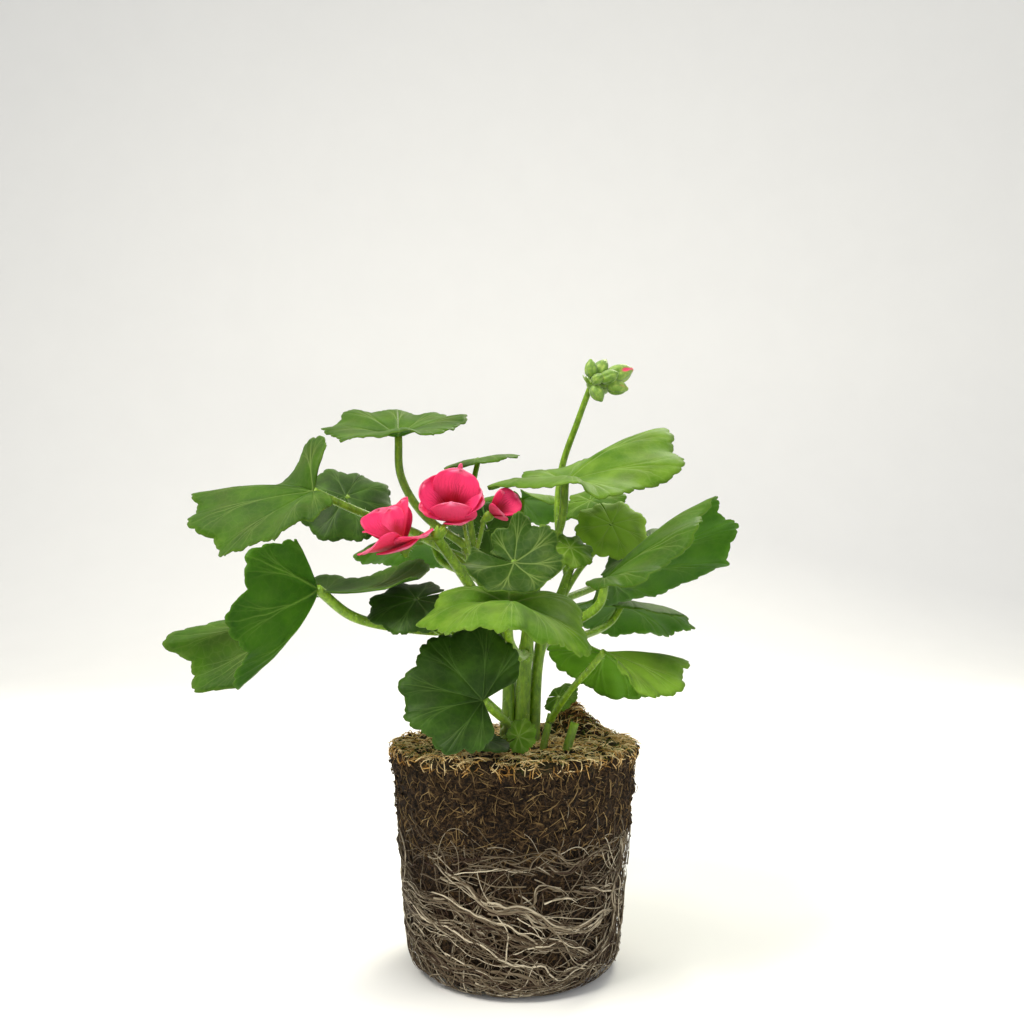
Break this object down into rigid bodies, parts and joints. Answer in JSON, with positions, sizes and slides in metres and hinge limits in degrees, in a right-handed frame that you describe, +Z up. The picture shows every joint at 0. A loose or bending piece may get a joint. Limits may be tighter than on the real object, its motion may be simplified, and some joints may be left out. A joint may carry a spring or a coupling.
{
  "type": "zonal geranium with root ball",
  "caption": "Zonal geranium lifted from its pot: scalloped round leaves, one open flower head and one head of buds on a tapered root ball wrapped in pale roots.",
  "frame": {"origin": "centre of the flat underside of the root ball", "axes": "+Z up, along the root ball's axis; the side that the picture shows faces -Y, with +X to its right"},
  "size_m": [0.2343, 0.2266, 0.2734],
  "materials": {
    "peat": "crumbly, fibrous",
    "root": "dry, smooth",
    "stem": "downy",
    "leaf": "downy",
    "young_leaf": "downy",
    "shade_leaf": "downy",
    "petal": "satin",
    "bud": "downy"
  },
  "bodies": {
    "root": {"bud_cluster": "bud", "cut_stub": "stem", "floret_back": "petal", "floret_front": "petal", "floret_left": "petal", "floret_right": "petal", "leaf_back_left": "leaf", "leaf_back_low": "shade_leaf", "leaf_back_mid": "leaf", "leaf_back_right": "leaf", "leaf_base_flat": "shade_leaf", "leaf_base_small": "young_leaf", "leaf_behind_top": "leaf", "leaf_centre_shade": "shade_leaf", "leaf_front_low": "shade_leaf", "leaf_front_umbrella": "young_leaf", "leaf_left_shade": "shade_leaf", "leaf_left_speckled": "shade_leaf", "leaf_left_trough": "leaf", "leaf_left_upper": "leaf", "leaf_right_back": "young_leaf", "leaf_right_fold": "leaf", "leaf_right_low": "leaf", "leaf_right_shade": "shade_leaf", "leaf_side_shoot": "young_leaf", "leaf_top_back": "leaf", "leaf_top_left": "leaf", "leaf_top_right": "leaf", "leaf_young_front": "young_leaf", "leaf_young_right": "young_leaf", "peat_ball": "peat", "root_net": "root", "side_shoot": "stem", "stems": "stem"}
  },
  "joints": []
}
